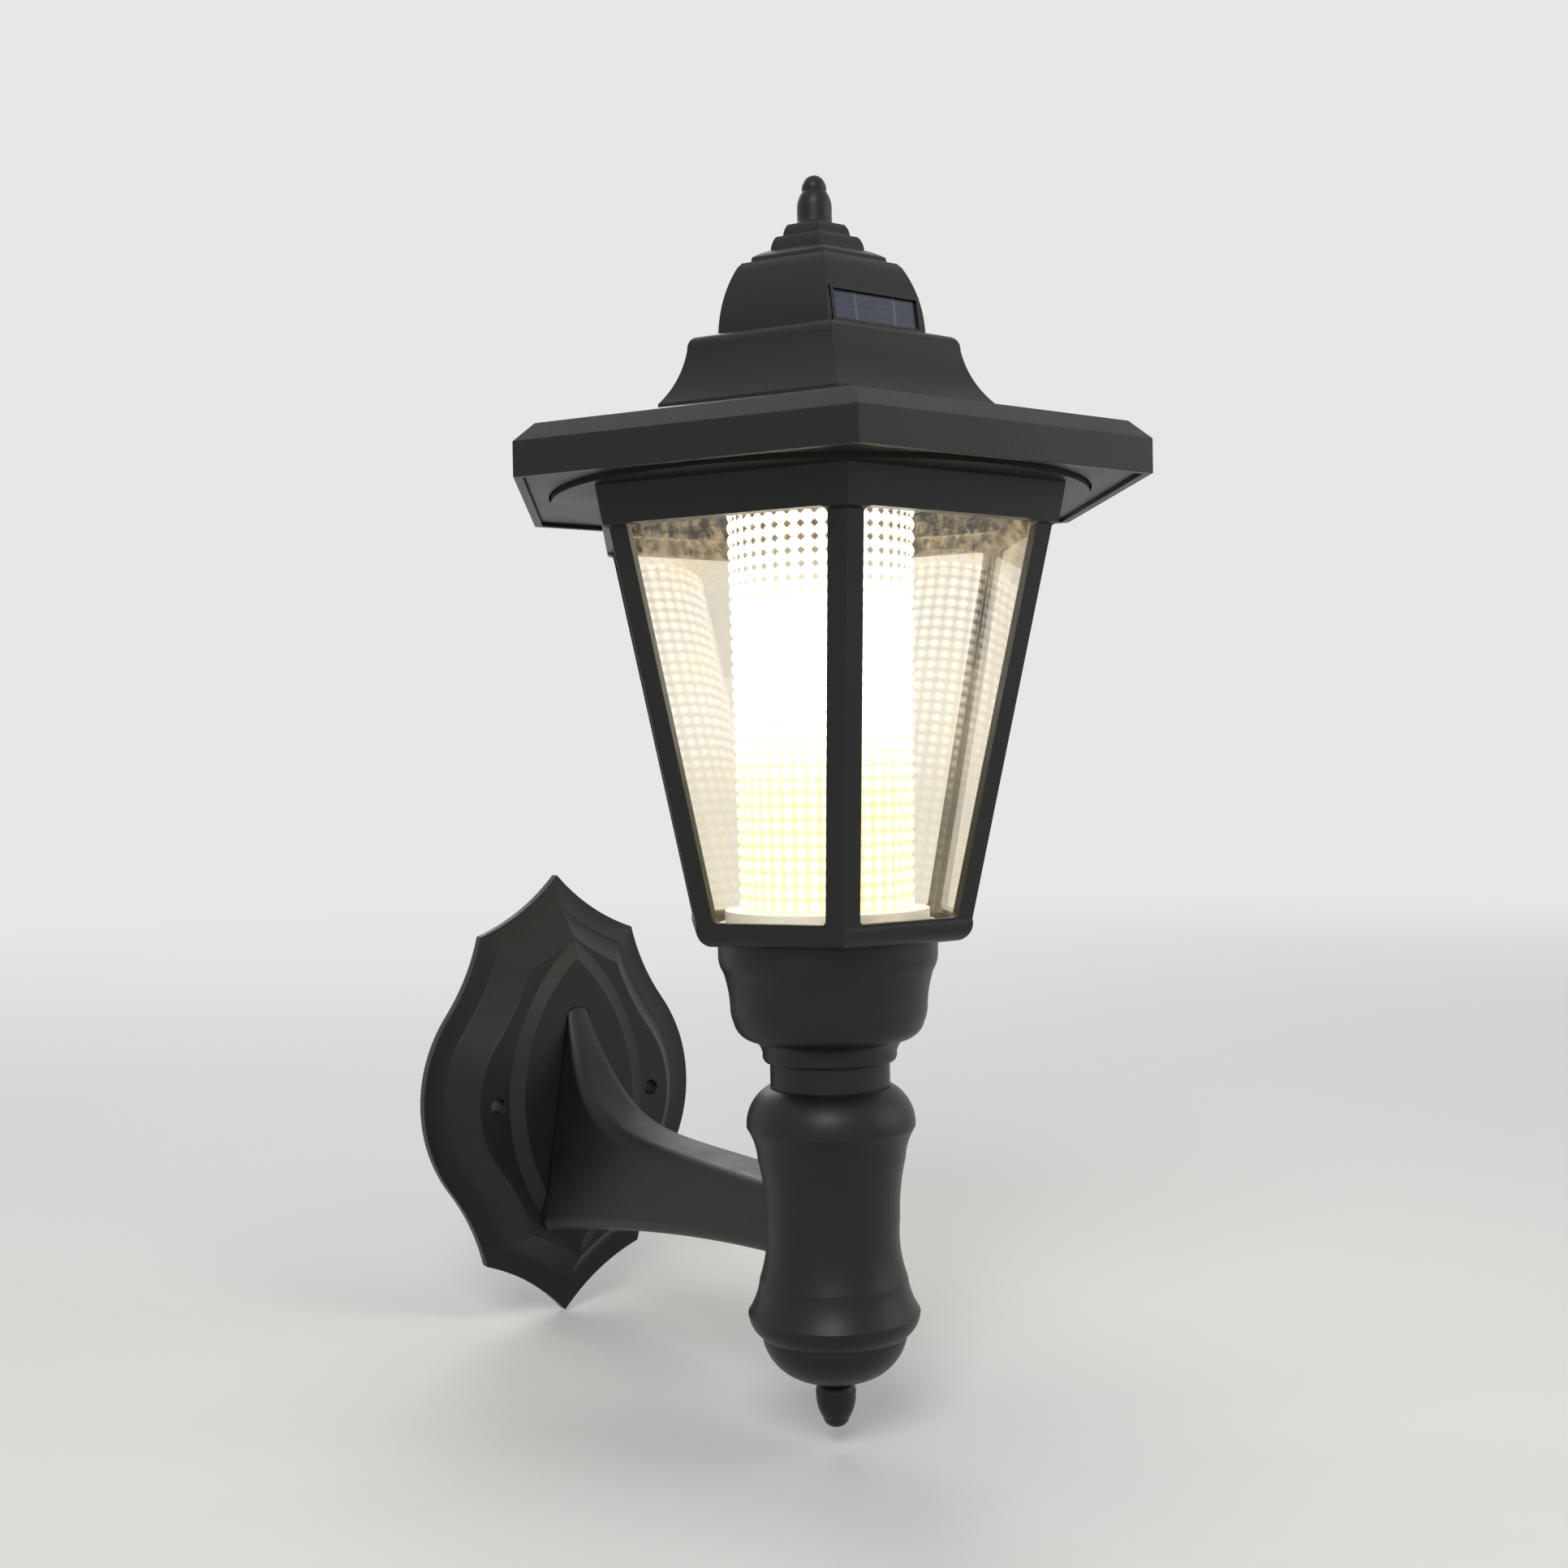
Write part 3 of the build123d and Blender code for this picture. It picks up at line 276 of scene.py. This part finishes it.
steelLooks = {
    "screw_steel": {"name": "screwSteel", "colour": (0.52, 0.51, 0.49), "rough": 0.34},
    "switch_metal": {"name": "switchMetal", "colour": (0.6, 0.6, 0.58), "rough": 0.3},
}
steelGrain = {
    "cloud": (220.0, 4.0, 0.6),
    "cloudRough": 0.25,
    "dull": 0.78,
    "grain": (2600.0, 2.0, 0.5),
    "grainDepth": 0.00002,
    "grainBump": 0.5,
}


# Clear moulding: a thin refracting wall with a slight waviness and a light film of smears. Dust
# that lets light through clings to it, most of all just under the roof.
def clearPlastic(name, look):
    paint = Paint(bpy.data.materials.new(name))
    paint.set(transmissionWeight=1.0, ior=look["ior"])
    wave = paint.noise(look["wave"])
    smear = paint.noise(look["smear"]).step(*look["smearEdge"])
    paint.set(baseColor=paint.mix(smear, look["tint"], look["smearTint"]))
    paint.set(roughness=look["rough"] + smear * look["smearRough"])
    paint.set(normal=paint.bump(wave, look["waveDepth"], look["waveBump"]))
    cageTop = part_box("lantern_cage")[1][2]
    height = paint.split(paint.place())[2]
    under = height.step(cageTop - look["dustReach"], cageTop - look["dustFull"])
    speck = paint.noise(look["speck"]).step(*look["speckEdge"])
    share = smear * look["film"] + speck * (look["speckle"] + under * look["dust"])
    through = paint.node("BsdfTranslucent", values={"Color": look["dustColour"]})
    dull = paint.node("BsdfDiffuse", values={"Color": look["dustColour"]})
    dust = paint.mixShaders(0.5, dull, through)
    paint.show(paint.mixShaders(share.clamped(), paint.shaded(), dust))
    return paint.owner


clearLook = {
    "ior": 1.47,
    "tint": (0.968, 0.938, 0.875),
    "rough": 0.003,
    "wave": (22.0, 2.0, 0.5),
    "waveDepth": 0.000012,
    "waveBump": 0.5,
    "smear": (55.0, 5.0, 0.65),
    "smearEdge": (0.48, 0.78),
    "smearTint": (0.93, 0.885, 0.79),
    "smearRough": 0.02,
    "film": 0.05,  # how much dust a smear holds
    "speck": (420.0, 6.0, 0.75),
    "speckEdge": (0.46, 0.66),
    "speckle": 0.02,  # how much dust a speck holds anywhere
    "dust": 0.28,  # and how much more just under the roof
    "dustReach": 0.021,
    "dustFull": 0.013,
    "dustColour": (0.62, 0.50, 0.34),
}


# The beaded tube glows: each bead is brightest at its middle, and the upper half holds the hot spot.
# Near the top the light passes by, so brown dots show where four beads meet.
def tubePaint(name, look):
    paint = Paint(bpy.data.materials.new(name))
    paint.set(baseColor=look["clear"], roughness=look["rough"])
    paint.set(coatWeight=look["coat"], coatRoughness=look["coatRough"])
    height = paint.attribute("tubeHeight")
    across = paint.attribute("beadAcross")
    along = paint.attribute("beadAlong")
    middle = (across * along) ** look["focus"]
    spot = height.step(*look["spotRise"])
    topRows = height.step(*look["topRise"])
    glow = paint.mix(spot, look["low"], look["spot"])
    edge = look["edgeLow"] - spot * (look["edgeLow"] - look["edgeSpot"])
    share = (edge + (1 - edge) * middle).clamped()
    colour = paint.mix(share, look["amber"], glow)
    dots = ((1 - across) * (1 - along)).step(*look["dotEdge"])
    dots = dots * (look["dotLow"] + topRows * (1 - look["dotLow"]))
    colour = paint.mix(dots, colour, look["brown"])
    paint.set(emissionColor=colour, emissionStrength=look["strength"])
    return paint.owner


tubeLook = {
    "clear": (0.16, 0.15, 0.12),
    "rough": 0.12,
    "coat": 0.5,
    "coatRough": 0.05,
    "spot": (1.0, 0.96, 0.84),
    "low": (0.30, 0.295, 0.155),
    "amber": (0.056, 0.052, 0.042),
    "brown": (0.006, 0.0025, 0.0006),
    "strength": 9.0,
    "spotRise": (0.28, 0.62),  # shares of the tube's height
    "topRise": (0.66, 0.90),
    "focus": 1.6,
    "edgeLow": 0.20,  # how much of its glow a bead keeps at its edge, low down
    "edgeSpot": 0.14,  # and in the hot spot
    "dotEdge": (0.08, 0.42),
    "dotLow": 0.10,  # strength of the dots below the top rows
}


# Solar cell: dark blue silicon with fine silver fingers and wider bars under clear resin.
def cellPaint(name, look):
    paint = Paint(bpy.data.materials.new(name))
    paint.set(roughness=look["rough"], specularIorLevel=look["gloss"])
    paint.set(coatWeight=look["resin"], coatRoughness=look["resinRough"])
    x, _, z = paint.split(paint.place())
    cloud = paint.noise(look["cloud"])
    silicon = paint.mix(cloud.step(*look["cloudEdge"]), look["dark"], look["light"])
    finger = 1 - ((z * look["fingers"]).fraction() - 0.5).absolute().step(*look["fingerEdge"])
    bar = 1 - ((x * look["bars"]).fraction() - 0.5).absolute().step(*look["barEdge"])
    lines = (finger * look["fingerShare"] + bar * look["barShare"]).clamped()
    paint.set(baseColor=paint.mix(lines, silicon, look["silver"]))
    return paint.owner


cellLook = {
    "dark": (0.003, 0.006, 0.022),
    "light": (0.007, 0.013, 0.045),
    "silver": (0.07, 0.075, 0.09),
    "rough": 0.4,
    "gloss": 0.3,
    "resin": 0.35,
    "resinRough": 0.12,
    "cloud": (420.0, 3.0, 0.6),
    "cloudEdge": (0.35, 0.65),
    "fingers": 620.0,  # lines in a metre
    "fingerEdge": (0.03, 0.07),
    "fingerShare": 0.35,
    "bars": 90.0,
    "barEdge": (0.02, 0.04),
    "barShare": 0.8,
}

paints = {
    "black_plastic": blackPlastic("blackPlastic", blackLook),
    "clear_plastic": clearPlastic("clearPlastic", clearLook),
    "lit_prisms": tubePaint("litPrisms", tubeLook),
    "solar_blue": cellPaint("solarCell", cellLook),
    **{slot: plainPaint(look, plainGrain) for slot, look in plainLooks.items()},
    **{slot: steelPaint(look, steelGrain) for slot, look in steelLooks.items()},
}
for name, node in nodes.items():
    for slot in node.material_slots:
        slot.material = paints[slotOf[name]]
print("materials:", len(paints), "finishes on", len(nodes), "parts")


# A new piece takes the place and the body of the part that it stands for.
def standFor(piece, node):
    bpy.context.scene.collection.objects.link(piece)
    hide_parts(node)
    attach(piece, nodes[node]["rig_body"])


def smoothFaces(mesh):
    mesh.polygons.foreach_set("use_smooth", np.full(len(mesh.polygons), True))


# The four corners of every cell of a rows x columns grid that closes both ways, like a ring's skin.
def gridFaces(rows, columns):
    row, column = np.meshgrid(np.arange(rows), np.arange(columns), indexing="ij")
    above, beside = (row + 1) % rows, (column + 1) % columns
    corners = [(row, column), (row, beside), (above, beside), (above, column)]
    return np.stack([r * columns + c for r, c in corners], axis=-1).reshape(-1, 4).tolist()


# The tube's wall: radius(angle, height) = a straight taper from slim to wide - bead depth
# + bead depth x |sin x sin| ^ power. It stands on a plain foot ring and ends in a plain head,
# and a plain inner wall goes back down and closes the skin.
def beadedTube(size):
    low, high = (corner[2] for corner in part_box("prism_tube"))
    beadLow, beadHigh = low + size["foot"], high - size["head"]
    columns, rows = size["columns"] * size["cells"], size["rows"] * size["cells"]
    turn = np.arange(columns) / columns
    lift = np.linspace(0, 1, rows + 1)
    across = np.abs(np.sin(np.pi * turn * size["columns"]))[None, :]
    along = np.abs(np.sin(np.pi * lift * size["rows"]))[:, None]
    taper = size["slim"] + (size["wide"] - size["slim"]) * lift[:, None]
    radius = taper - size["depth"] + size["depth"] * (along * across) ** size["power"]
    footZ = [low, low, beadLow, beadLow]
    footRadius = [size["slim"] - size["wall"], size["footRadius"], size["footRadius"], size["slim"]]
    headZ = [beadHigh, high, high]
    headRadius = [size["wide"], size["wide"], size["wide"] - size["wall"]]
    z = np.concatenate([footZ, beadLow + (beadHigh - beadLow) * lift, headZ])[:, None]
    plainFoot, plainHead = (np.tile(np.array(r)[:, None], columns) for r in (footRadius, headRadius))
    radius = np.concatenate([plainFoot, radius, plainHead])
    along = np.concatenate([np.ones((len(footZ), 1)), along, np.ones((len(headZ), 1))])
    angle = 2 * np.pi * turn[None, :]
    z, across, along = (values + 0 * radius for values in (z, across, along))
    points = np.stack([radius * np.cos(angle), lampY + radius * np.sin(angle), z], axis=-1)
    mesh = bpy.data.meshes.new("beaded_tube")
    mesh.from_pydata(points.reshape(-1, 3).tolist(), [], gridFaces(len(z), columns))
    smoothFaces(mesh)
    patterns = {"beadAcross": across, "beadAlong": along, "tubeHeight": (z - low) / (high - low)}
    for key, values in patterns.items():
        layer = mesh.attributes.new(key, "FLOAT", "POINT")
        layer.data.foreach_set("value", values.astype(np.float32).ravel())
    mesh.validate()
    mesh.update()
    mesh.materials.append(paints[slotOf["prism_tube"]])
    piece = bpy.data.objects.new("beaded_tube", mesh)
    standFor(piece, "prism_tube")
    piece.visible_shadow = False


# metres; columns and rows count the beads, and cells says how finely each one is divided
tubeSize = {
    "columns": 42,
    "rows": 32,
    "cells": 6,
    "slim": 0.0207,
    "wide": 0.0223,
    "footRadius": 0.0223,
    "wall": 0.0018,
    "depth": 0.0008,
    "power": 0.6,
    "foot": 0.0034,
    "head": 0.0012,
}
beadedTube(tubeSize)
print("tube:", tubeSize["columns"] * tubeSize["rows"], "beads")


# A copy of a part's own mesh: its doubles merged, its flat faces joined, its edges rounded.
def roundedCopy(node, width, look):
    mesh = nodes[node].data.copy()
    made = bmesh.new()
    made.from_mesh(mesh)
    bmesh.ops.remove_doubles(made, verts=made.verts, dist=look["mergeDistance"])
    flat = math.radians(look["flatAngle"])
    bmesh.ops.dissolve_limit(made, angle_limit=flat, verts=made.verts, edges=made.edges, delimit={"NORMAL"})
    made.to_mesh(mesh)
    made.free()
    smoothFaces(mesh)
    piece = bpy.data.objects.new(node + "_moulding", mesh)
    bevel = piece.modifiers.new("roundedEdges", "BEVEL")
    bevel.width = width
    bevel.segments = look["segments"]
    bevel.limit_method = "ANGLE"
    bevel.angle_limit = math.radians(look["edgeAngle"])
    even = piece.modifiers.new("evenShading", "WEIGHTED_NORMAL")
    even.keep_sharp = True
    standFor(piece, node)
    piece.visible_shadow = node not in look["noShadow"]


# degrees and metres; an edge sharper than edgeAngle is rounded
edgeLook = {
    "mergeDistance": 0.000004,
    "flatAngle": 1.0,
    "edgeAngle": 28.0,
    "segments": 2,
    "noShadow": ("clear_shade",),  # the light goes through it
}
edgeWidths = {
    "roof_brim": 0.0005,
    "roof_riser": 0.0004,
    "roof_dome": 0.0004,
    "crown_cap": 0.0004,
    "lantern_cage": 0.0004,
    "lantern_cup": 0.0003,
    "back_plate": 0.0005,
    "bracket_arm": 0.0005,
    "clear_shade": 0.0012,
}
for node, width in edgeWidths.items():
    roundedCopy(node, width, edgeLook)
print("mouldings:", len(edgeWidths), "copies with rounded edges")


# 1 for a ray that comes straight, or through a mirror or clear plastic, from the camera
def seenRay(paint):
    path = paint.node("LightPath")
    names = ("Is Camera Ray", "Is Glossy Ray", "Is Transmission Ray")
    camera, glossy, through = (path.output(name) for name in names)
    return (camera + glossy + through).clamped()


# Those rays meet the background's colour, the others a softer light.
def setWorld(look):
    world = bpy.data.worlds.new("studio")
    bpy.context.scene.world = world
    paint = Paint(world)
    paint.tree.nodes.clear()
    lit = paint.node("Background", values={"Color": (1.0, 1.0, 1.0), "Strength": look["worldLight"]})
    plain = paint.node("Background", values={"Color": look["background"], "Strength": 1.0})
    both = paint.mixShaders(seenRay(paint), lit, plain)
    paint.node("OutputWorld", values={"Surface": both})


# A wide disc: seen by the camera it fades with distance into the background's colour, and from
# below it lets the view through. Its rim: x = radius x cos, y = lamp's axis + radius x sin.
def setFloor(look):
    paint = Paint(bpy.data.materials.new("paleFloor"))
    x, y, _ = paint.split(paint.place())
    reach = (x * x + (y - lampY) * (y - lampY)) ** 0.5
    fade = reach.step(look["fadeFrom"], look["fadeTo"])
    shade = tuple(c * look["floorShade"] for c in look["floorColour"])
    paint.set(baseColor=paint.mix(paint.noise(look["mottle"]), shade, look["floorColour"]))
    paint.set(roughness=look["floorRough"], specularIorLevel=look["floorGloss"])
    under = paint.node("NewGeometry", out="Backfacing")
    glow = paint.node("Emission", values={"Color": look["background"], "Strength": 1.0})
    far = paint.mixShaders(seenRay(paint) * fade, paint.shaded(), glow)
    paint.show(paint.mixShaders(under, far, paint.node("BsdfTransparent")))
    turn = np.linspace(0, 2 * np.pi, look["floorSides"], endpoint=False)
    height = cadBox[0].z - look["floorDrop"]
    across, along = look["floorRadius"] * np.cos(turn), look["floorRadius"] * np.sin(turn)
    rim = np.stack([across, lampY + along, turn * 0 + height], axis=-1)
    mesh = bpy.data.meshes.new("floor")
    mesh.from_pydata(rim.tolist(), [], [list(range(len(rim)))])
    mesh.materials.append(paint.owner)
    floor = bpy.data.objects.new("floor", mesh)
    bpy.context.scene.collection.objects.link(floor)


studio = {
    "background": (0.80, 0.80, 0.79),
    "worldLight": 0.42,
    "floorColour": (0.82, 0.82, 0.81),
    "floorShade": 0.985,
    "mottle": (9.0, 2.0, 0.5),
    "floorRough": 0.9,
    "floorGloss": 0.2,
    "floorRadius": 9,
    "floorSides": 96,
    "floorDrop": 0.0006,  # below the lamp's lowest point
    "fadeFrom": 0.5,
    "fadeTo": 1.9,
}


def addLamp(name, lamp, target):
    light = bpy.data.lights.new(name, "AREA")
    light.shape = "DISK"
    light.size = lamp["size"]
    light.energy = lamp["power"]
    light.color = lamp["colour"]
    made = bpy.data.objects.new(name, light)
    bpy.context.scene.collection.objects.link(made)
    made.location = lamp["place"]
    aim = Vector(target) - made.location
    made.rotation_euler = aim.to_track_quat("-Z", "Y").to_euler()


lamps = {
    "key": {"place": (-1.0, -1.25, 1.25), "size": 0.9, "power": 15.0, "colour": (1.0, 0.985, 0.96)},
    "fill": {"place": (1.35, -1.1, 0.6), "size": 1.3, "power": 5.5, "colour": (0.96, 0.98, 1.0)},
    "back": {"place": (0.5, 1.3, 1.0), "size": 1.0, "power": 7.0, "colour": (1.0, 1.0, 1.0)},
}
lampTarget = (0.0, -0.1, 0.1)


# Forward, right and above are worked out from yaw and pitch, then right and above turn by roll.
def setCamera(view):
    yaw, pitch, roll = (math.radians(view[k]) for k in ("yaw", "pitch", "roll"))
    level = math.cos(pitch)
    forward = np.array([math.sin(yaw) * level, math.cos(yaw) * level, math.sin(pitch)])
    right = np.array([math.cos(yaw), -math.sin(yaw), 0.0])
    above = np.cross(right, forward)
    turned = math.cos(roll) * right + math.sin(roll) * above
    upright = math.cos(roll) * above - math.sin(roll) * right
    matrix = np.eye(4)
    matrix[:3, :3] = np.stack([turned, upright, -forward], axis=-1)
    matrix[:3, 3] = view["place"]
    data = bpy.data.cameras.new("camera")
    data.lens = view["lens"]
    data.sensor_width = view["sensor"]
    data.clip_start = view["nearest"]
    camera = bpy.data.objects.new("camera", data)
    camera.matrix_world = Matrix(matrix)
    bpy.context.scene.collection.objects.link(camera)
    bpy.context.scene.camera = camera


# degrees and metres, but lens and sensor in millimetres
cameraSet = {
    "lens": 42.231,
    "sensor": 36.0,
    "nearest": 0.01,
    "place": (-0.2573, -0.5016, 0.0967),
    "yaw": 34.39,
    "pitch": -0.46,
    "roll": -1.064,
}

setWorld(studio)
setFloor(studio)
for name, lamp in lamps.items():
    addLamp(name, lamp, lampTarget)
setCamera(cameraSet)
bpy.context.scene.view_settings.view_transform = "Standard"
print("stage, lamps and camera set")
